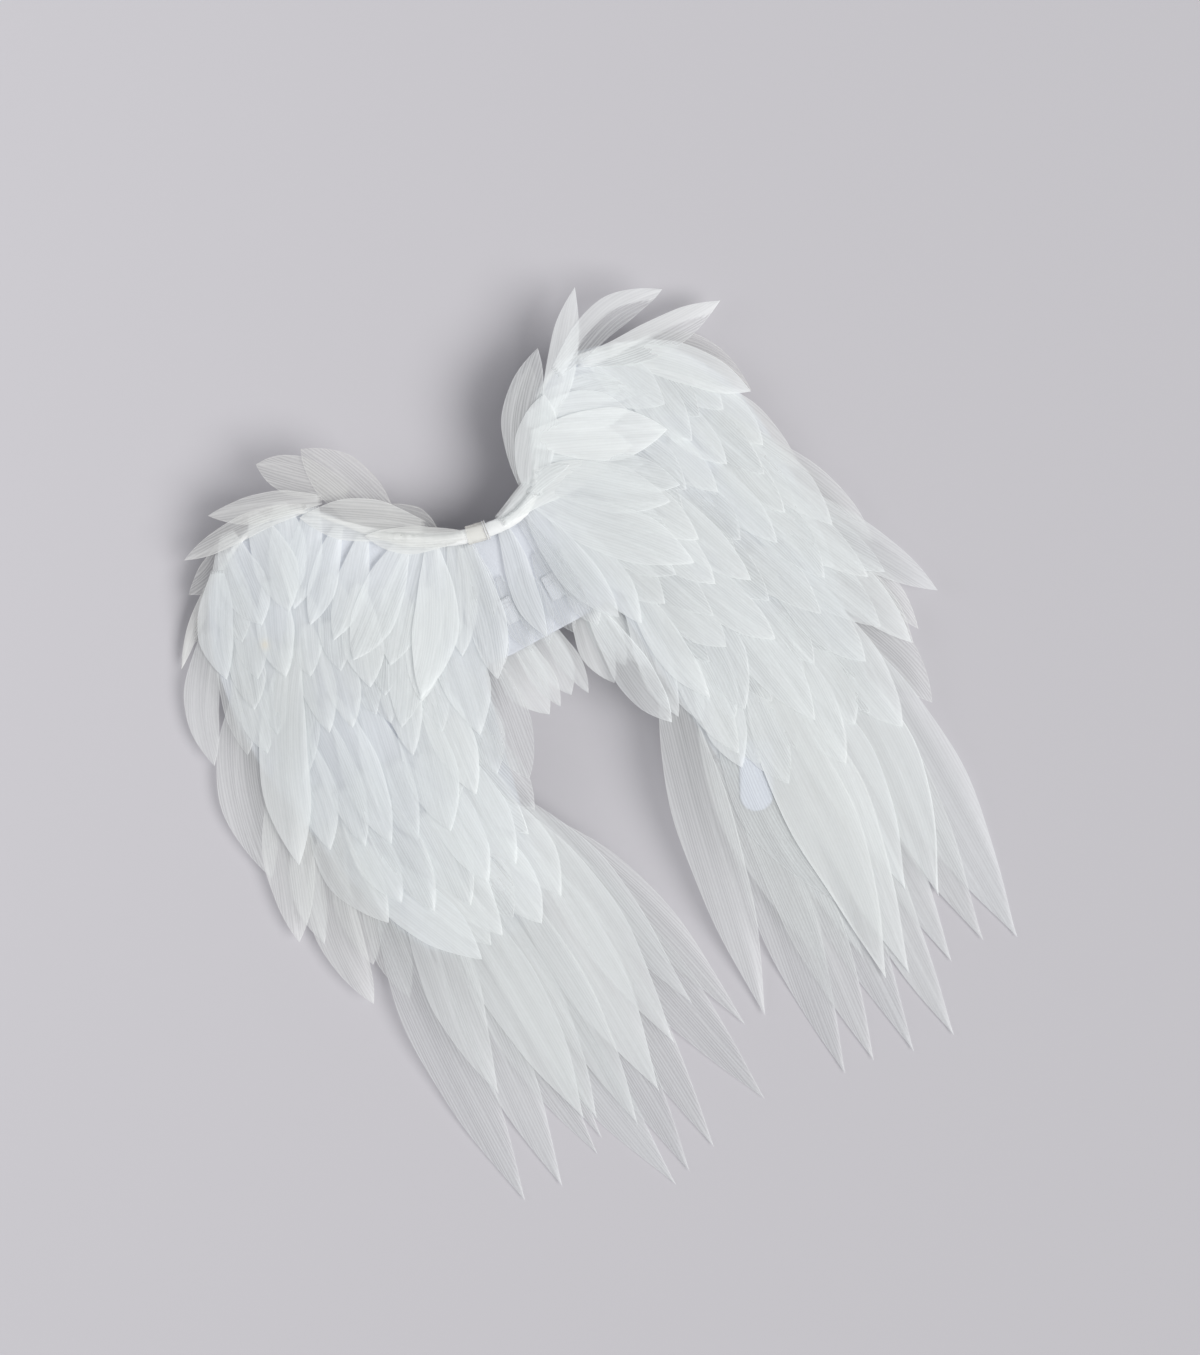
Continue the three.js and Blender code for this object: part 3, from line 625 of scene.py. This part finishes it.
# Each row: node name, seam number, tail or not, and its petals from the wing's outer side to its inner
# side. Each petal: root x, root y, tip x, tip y, width, and where they differ from the usual, bow, cover
# and fold. A petal of a tail or centre row may also have its ply.
row_table = [
    ("left_row_1", 0, False, [
        (-150, 54, -177, -6, 23, -4), (-134, 71, -142, 12, 28, -3, 60), (-114, 73, -123, 11, 25),
        (-97, 71, -119, 16, 24), (-80, 60, -120, 11, 22, 3, 70), (-72, 42, -116, -2, 17, 0, 60),
        (-62, 30, -108, -17, 19, 0, 58), (-44, 14, -103, -33, 28, 0, 60), (-29, 6, -78, -72, 26, 4, 60),
        (-17, 1, -45, -62, 20, 2)]),
    ("left_row_2", 1, False, [
        (-150, 24, -171, -30, 21), (-143, 40, -160, -15, 20), (-125, 34, -144, -22, 23),
        (-112, 22, -131, -29, 23), (-92, 20, -113, -35, 22), (-78, 6, -102, -52, 24),
        (-60, -8, -97, -82, 27, 3, 60), (-44, -14, -79, -74, 24, 2)]),
    ("left_row_3", 2, False, [
        (-158, 8, -177, -57, 23, -2), (-144, 6, -166, -50, 22), (-131, -6, -192, -125, 32, -3, 74),
        (-130, 2, -149, -60, 21), (-118, 0, -137, -64, 21), (-106, -4, -123, -68, 22),
        (-95, -8, -107, -68, 22), (-80, -14, -99, -100, 25), (-40, -24, -58, -108, 29, 2, 60)]),
    ("left_row_4", 3, False, [
        (-156, -40, -171, -126, 26), (-140, -40, -151, -134, 24), (-126, -44, -136, -140, 24),
        (-110, -52, -121, -146, 27), (-84, -56, -101, -150, 32, 0, 60), (-68, -58, -77, -138, 26),
        (-38, -60, -45, -145, 31, 0, 44)]),
    ("left_row_5", 4, False, [
        (-160, -88, -161, -181, 34, -3), (-146, -96, -148, -174, 26), (-134, -92, -133, -188, 27),
        (-112, -96, -112, -195, 33, 0, 60), (-94, -100, -96, -188, 28), (-80, -100, -76, -186, 28),
        (-78, -82, -61, -174, 29, -3, 54, 1), (-64, -88, -51, -163, 25, 0, 50)]),
    ("left_row_6", 5, False, [
        (-156, -128, -122, -227, 31, -4, 70), (-136, -132, -113, -222, 29, 0, 70),
        (-112, -132, -104, -220, 29, 0, 72), (-95, -132, -80, -225, 33, 0, 72),
        (-74, -132, -62, -216, 29, 0, 70)]),
    ("left_row_7", 6, True, [
        (-138, -170, -153, -304, 33, 0, 66), (-120, -172, -115, -342, 37, -1, 66, 0, 2),
        (-110, -178, -108, -346, 33, 0, 64, 0, 0.8), (-95, -176, -88, -361, 34, 0, 66, 0, 3),
        (-74, -168, -67, -349, 40, 0, 68, 0, 1), (-58, -166, -45, -328, 30, 2, 64, 0, 2),
        (-56, -156, -24, -312, 26, 3, 58)]),
    ("left_row_8", 7, True, [
        (-158, -172, -170, -369, 37, 0, 49), (-136, -190, -146, -372, 32, 0, 47, 0, 1),
        (-126, -200, -118, -365, 28, 0, 47), (-114, -210, -111, -358, 20, 0, 47, 0, 1.5),
        (-100, -200, -85, -404, 34, -2, 47), (-84, -200, -74, -401, 32, 0, 47, 0, 1),
        (-64, -196, -54, -395, 32, 0, 47), (-52, -186, -13, -384, 34, 0, 49, 0, 1),
        (-58, -160, -2, -339, 26, 4, 49, 0, 0.5)]),
    ("right_row_1", 0, False, [
        (138, 56, 163, -6, 24), (120, 60, 137, -14, 28), (106, 60, 133, 13, 27), (88, 58, 120, 26, 22),
        (66, 51, 118, 34, 22), (55, 44, 112, 20, 26, 0, 80), (49, 29, 104, 0, 26, 0, 80),
        (47, 19, 118, -34, 25, 0, 56), (41, 11, 108, -40, 28, 4, 56), (36, 4, 103, -79, 30, 2, 60)]),
    ("right_row_2", 1, False, [
        (146, 36, 174, -36, 24), (138, 24, 166, -52, 24), (126, 28, 149, -36, 24), (108, 26, 136, -48, 24),
        (92, 18, 120, -38, 26), (74, 4, 112, -68, 26), (52, -16, 90, -80, 27)]),
    ("right_row_3", 2, False, [
        (154, -4, 188, -98, 26), (142, -4, 166, -78, 24), (126, -6, 153, -92, 24),
        (112, -12, 134, -80, 26, 0, 56), (96, -18, 128, -104, 26), (80, -24, 108, -96, 25),
        (64, -32, 98, -112, 25), (48, -32, 76, -92, 24)]),
    ("right_row_4", 3, False, [
        (150, -32, 225, -163, 29, 1, 64), (146, -38, 192, -136, 28, 0, 56), (136, -36, 168, -124, 30, 2),
        (118, -44, 156, -142, 28), (102, -48, 132, -120, 26, 0, 54), (88, -58, 124, -142, 27),
        (72, -64, 96, -132, 26), (61, -62, 73, -154, 20)]),
    ("right_row_5", 4, False, [
        (160, -76, 196, -183, 27, 2), (148, -82, 184, -166, 28, 0, 54), (136, -86, 166, -180, 29),
        (120, -84, 138, -166, 28, 0, 54), (108, -90, 122, -196, 29), (90, -88, 88, -170, 29, 0, 54),
        (76, -88, 72, -192, 26), (57, -76, 51, -155, 20, 0, 52), (36, -74, 46, -156, 24, 0, 50, 0.8)]),
    ("right_row_6", 5, False, [
        (148, -118, 167, -225, 36, 3, 62), (136, -128, 142, -210, 30, 0, 54), (121, -130, 126, -228, 31),
        (107, -130, 104, -206, 30, 0, 56), (92, -130, 90, -222, 31), (76, -128, 70, -200, 26)]),
    ("right_row_7", 6, True, [
        (146, -158, 138, -326, 35, 3, 62, 1.5), (120, -160, 122, -313, 38, 0, 78, 0, 1),
        (112, -172, 100, -359, 38, 0, 78, 0, 2), (84, -152, 82, -300, 39, -7, 50, 0, -0.6),
        (100, -160, 86, -355, 40, 0, 76, -1.6, 4), (80, -158, 80, -338, 30, 1, 72, 0, -3),
        (68, -160, 58, -334, 38, 0, 64, 0, -4)]),
    ("right_row_8", 7, True, [
        (162, -158, 168, -371, 44, 3, 59, 0, 0.5), (150, -176, 149, -363, 34, 0, 55, 0, 1.5),
        (132, -190, 126, -365, 30, 0, 55), (114, -190, 106, -405, 35, 0, 55, 0, 1.2),
        (96, -196, 80, -402, 35, 0, 55), (74, -190, 56, -395, 36, 0, 55, 0, 1),
        (60, -186, 37, -394, 35, 0, 51), (54, -138, 11, -340, 36, 2, 51, 0, 1)]),
    ("centre_row_1", 0, False, [
        (-12, 0, -22, -37, 12, 0, 45), (-12, -3, -33, -84, 24, 3, 56), (-9, -2, -17, -50, 12, 0, 36),
        (13, -3, 5, -76, 17, 0, 52), (24, -4, 35, -74, 14, 0, 36), (32, -3, 48, -86, 24, 0, 58)]),
    ("centre_row_2", 0.85, False, [
        (-20, -30, -25, -78, 19, 0, 46), (-4, -30, -7, -79, 17, 0, 34), (11, -34, 4, -80, 19, 0, 36),
        (23, -28, 20, -81, 18, 0, 34), (37, -34, 35, -84, 20, 0, 42), (44, -12, 58, -96, 24, 0, 58)]),
]

row_plies = 3
widest_gap = 24.0
lower_length = 0.9
lower_cover = 52
# bow, cover and fold of a petal whose row in the table leaves them out
usual_petal = (0, 61, 0)


def on_ply(petal, ply):
    """A petal's numbers, with the usual ones where the table leaves them out, and its ply."""
    return (*petal, *usual_petal[len(petal) - 5:], ply)


def with_lower_ply(petals):
    """The petals of a row, raised in turn so that they shingle, and one on a ply below between each two
    whose tips lie further apart than the widest gap."""
    filled = []
    for first, second in zip(petals, petals[1:]):
        if math.dist(first[2:4], second[2:4]) < widest_gap:
            continue
        root_x, root_y, tip_x, tip_y, width = (np.array(first[:5]) + second[:5]) / 2
        tip_x = root_x + lower_length * (tip_x - root_x)
        tip_y = root_y + lower_length * (tip_y - root_y)
        filled.append((root_x, root_y, tip_x, tip_y, width, 0, lower_cover, 0, -1))
    filled.extend(on_ply(petal, number % row_plies) for number, petal in enumerate(petals))
    return filled


for seed, (node, seam, tail, petals) in enumerate(row_table):
    sparse = tail or node.startswith("centre")
    petal_piece(node, petals if sparse else with_lower_ply(petals), on_row(seam), seed, tail, 0.0)

# The loose petals: cut from the same chiffon, they stand out round the wings' outer sides, past the top
# edge from behind, over the binding, and below the bridge. Every second one is sewn a little higher.
# Each piece: node name, height, tone and petals, as in the rows.
loose_seed = 40
loose_table = [
    ("left_outer_row", on_rim, 0.1, [
        (-172, 26, -209, -48, 22, -5, 56), (-162, 22, -188, -52, 22, -2, 54),
        (-166, -10, -211, -124, 33, -7, 56), (-170, -66, -215, -166, 30, -3, 54),
        (-176, -96, -202, -174, 20, -5, 54), (-162, -110, -193, -220, 30, -9, 56),
        (-156, -116, -182, -199, 27, 0, 54), (-150, -136, -172, -227, 26, -4, 54)]),
    ("right_outer_row", on_rim, 0.1, [
        (150, 26, 187, -59, 22, 1, 60), (158, -8, 205, -119, 24, 1, 48), (172, -90, 204, -178, 19, 2, 42),
        (164, -96, 197, -184, 24, 2, 42), (158, -122, 190, -221, 30, 2, 40)]),
    ("left_crest_back", under_panel, 0.3, [
        (-24, 8, -44, 40, 13, -10, 34), (-45, 24, -71, 93, 33, -4, 47), (-58, 56, -99, 98, 25, 0, 43),
        (-128, 68, -173, 50, 20, 8, 40), (-134, 61, -199, 13, 9.5, -6, 78),
        (-146, 46, -184, 23, 14, 0, 35)]),
    ("right_crest_back", under_panel, 0.3, [
        (38, 8, 74, 72, 21, 5, 34), (130, 58, 184, -3, 20, 10, 34)]),
    ("left_crest_front", over_binding, 0.25, [
        (-74, 60, -139, 85, 17, -3, 48), (-84, 60, -165, 69, 15, -5, 54),
        (-28, 16, -91, 57, 25, -2, 48), (-8, 0, -62, 29, 16, 3, 62)]),
    ("right_crest_front", over_binding, 0.03, [
        (14, -3, 86, -4, 20, 8, 70), (12, 0, 66, 8, 12, 5, 60), (36, 8, 82, 78, 24, 6, 52),
        (38, 2, 72, 52, 26, 2, 60), (118, 57, 183, -4, 25, 4, 76), (52, 33, 127, -1, 31, 0, 84),
        (54, 30, 119, 100, 17, -5, 64), (84, 60, 165, 75, 22, 6, 38, 10),
        (98, 60, 193, 53, 21, -6, 38, 9)]),
    ("centre_row_3", under_panel, 0.0, [
        (-23, -56, -16, -117, 27, 0, 66), (-10, -60, -8, -116, 15, 0, 58), (-1, -56, 1, -113, 22, 0, 64),
        (8, -60, 10.5, -117, 13, 0, 62), (34, -56, 27, -119, 23, 0, 66), (37, -60, 38, -113, 18, 0, 60),
        (44, -54, 49, -119, 28, 0, 64), (53, -58, 60, -136, 26, 0, 60)]),
]
for seed, (node, height, tone_value, petals) in enumerate(loose_table, start=loose_seed):
    layered = [on_ply(petal, 2 * (number % 2)) for number, petal in enumerate(petals)]
    petal_piece(node, layered, height, seed, False, tone_value)

# The elastic: ribbed woven tape. Its two heat-cut ends are stitched to the front of the bridge, and two
# loops for the shoulders are sewn under it and lie on the floor.
rib_count = 10
rib_height = 0.07
weave_height = 0.06
weave_rate = 5.2


def woven_section(width, wall):
    """Section of a woven tape, as offsets across and up: on both faces ribs that run along it, each half
    a wave of a sine, which die out at the tape's edges."""
    across = np.linspace(-1, 1, 41)
    rib = rib_height * np.abs(np.sin(across * rib_count / 2 * math.pi)) * (1 - across ** 8)
    face = np.stack([across * width / 2, wall / 2 + rib], axis=-1)
    back = np.stack([-across * width / 2, -wall / 2 - rib], axis=-1)
    return np.concatenate([face, back])


def band(path, section):
    """A section carried along a path, with its width level and across the path, in millimetres."""
    step = np.gradient(path, axis=0)[:, :2]
    step /= np.linalg.norm(step, axis=1)[:, None]
    side = np.stack([-step[:, 1], step[:, 0], np.zeros(len(path))], axis=-1)
    return path[:, None] + side[:, None] * section[:, :1] + np.array([0, 0, 1]) * section[:, 1:]


def woven_piece(name, node, path, width, wall):
    """A piece of woven tape along a path, closed at its ends, with the weave's small waves along it."""
    run = np.append(0, np.cumsum(np.linalg.norm(np.diff(path, axis=0), axis=1)))
    points = band(path, woven_section(width, wall))
    points[..., 2] += weave_height * np.sin(run * weave_rate)[:, None]
    points = np.moveaxis(shut(points), -1, 0)
    piece = grid_mesh(name, placed(*points), elastic_material, closed=True)
    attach(piece, "root")
    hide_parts(node)


elastic_material, nodes, links, shader = new_material("woven elastic", (0.63, 0.655, 0.69), 0.8)
grain(nodes, links, shader, 1600.0, 2.0, 0.4, 0.0003)

tape_width = 9.0
tape_wall = 1.0
tape_gap = 0.1
tape_steps = 24
for name, middle_x in (("left_tape_end", left_tape_x), ("right_tape_end", right_tape_x)):
    tape_y = np.linspace(tape_top, tape_top - tape_length, tape_steps)
    tape_x = np.full(tape_steps, middle_x)
    path = np.stack([tape_x, tape_y, panel_height(tape_x, tape_y) + tape_gap + tape_wall / 2], axis=-1)
    woven_piece(name.replace("end", "weave"), name, path, tape_width, tape_wall)

strap_width = 10.0
strap_wall = 1.2
strap_reach = 96.0
strap_anchor = 16.0
strap_top = 18.0
strap_legs = 46.0
strap_steps = 180
anchor_gap = 0.3
floor_gap = 0.15
anchor_height = panel_height(0, 0) - felt_wall - anchor_gap - strap_wall
# share of the reach outwards, share of the legs down the back, share of the anchor's height
strap_table = np.array([
    [0, 0, 1], [0.2, 0, 0.96], [0.45, 0.02, 0.42], [0.72, 0.02, 0.03], [0.9, 0.14, 0], [1, 0.5, 0],
    [0.9, 0.86, 0], [0.72, 0.98, 0.03], [0.45, 0.98, 0.42], [0.2, 1, 0.96], [0, 1, 1],
])
for name, side in (("left_shoulder_strap", -1), ("right_shoulder_strap", 1)):
    path = smooth_line(strap_table, strap_steps) * [side * strap_reach, -strap_legs, anchor_height]
    path = path + [side * strap_anchor, -strap_top, strap_wall / 2 + floor_gap]
    woven_piece(name.replace("strap", "loop"), name, path, strap_width, strap_wall)

# The wrap and the threads: a turn of sheer cream tape that closes the binding at the notch, and the
# white threads of the stitches on the tape ends and of two loops round the binding.
wrap_width = 11.2
wrap_height = 6.2
wrap_lift = 0.2
wrap_left = -9.25
wrap_right = 4.75
wrap_material, nodes, links, shader = new_material("wrap tape", (0.76, 0.75, 0.70), 0.5)
clear = add_node(nodes, "BsdfTransparent")
sheer = add_node(nodes, "MixShader", Fac=0.45)
links.new(clear.outputs["BSDF"], sheer.inputs[1])
links.new(shader.outputs["BSDF"], sheer.inputs[2])
links.new(sheer.outputs["Shader"], nodes["Material Output"].inputs["Surface"])
wrapped = (binding_line[:, 0] > wrap_left) & (binding_line[:, 0] < wrap_right)
wrap = grid_mesh("wrap_tape", roll(binding_line[wrapped], wrap_width, wrap_height, wrap_lift),
                 wrap_material, closed=True)
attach(wrap, "root")
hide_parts("centre_wrap")

thread_radius = 0.22
thread_sides = 6
thread_steps = 60
thread_material = new_material("white thread", (0.70, 0.71, 0.74), 0.6)[0]
stitch_lift = 1.3
stitch_wander = 0.35
stitch_dip = 0.1
loop_half = 6.0
loop_middle = 3.4
loop_rise = 3.7
loop_slant = 0.8
# x from, x to, y
stitch_table = [
    (-12.5, -3.0, -44.5), (-12.0, -3.5, -46.5), (-12.5, -2.5, -48.8),
    (17.5, 27.5, -44.8), (18.0, 28.0, -47.2), (17.5, 27.0, -49.4),
]


def thread(x, y, lift):
    """A tube of thread along a path at a lift above the panel, as a grid of points: a ring round each
    point of the path, square to the path."""
    path = np.stack([x, y, panel_height(x, y) + lift], axis=-1)
    step = np.gradient(path, axis=0)
    step /= np.linalg.norm(step, axis=1)[:, None]
    side = np.cross(step, [0.3, 0.2, 1.0])
    side /= np.linalg.norm(side, axis=1)[:, None]
    over = np.cross(side, step)
    turn = np.linspace(0, 2 * math.pi, thread_sides + 1)[:-1, None]
    return path[:, None] + thread_radius * (side[:, None] * np.cos(turn) + over[:, None] * np.sin(turn))


threads = []
for number, (start_x, end_x, stitch_y) in enumerate(stitch_table):
    stitch_x = np.linspace(start_x, end_x, thread_steps)
    wander = stitch_y + stitch_wander * np.sin(stitch_x * 0.7 + 2 * number)
    dip = stitch_dip * np.abs(np.sin(stitch_x * 1.6))
    threads.append(thread(stitch_x, wander, stitch_lift + dip))
for loop_x in (2.6, 4.0):
    turn = np.linspace(0, 2 * math.pi, thread_steps)
    loop_y = np.interp(loop_x, binding_line[:, 0], binding_line[:, 1]) + loop_half * np.cos(turn)
    loop_lift = loop_middle + loop_rise * np.sin(turn)
    threads.append(thread(loop_x + loop_slant * np.cos(turn), loop_y, loop_lift))
for number, points in enumerate(threads):
    points = placed(*np.moveaxis(points, -1, 0))
    stitch = grid_mesh("thread_%d" % number, points, thread_material, closed=True)
    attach(stitch, "root")
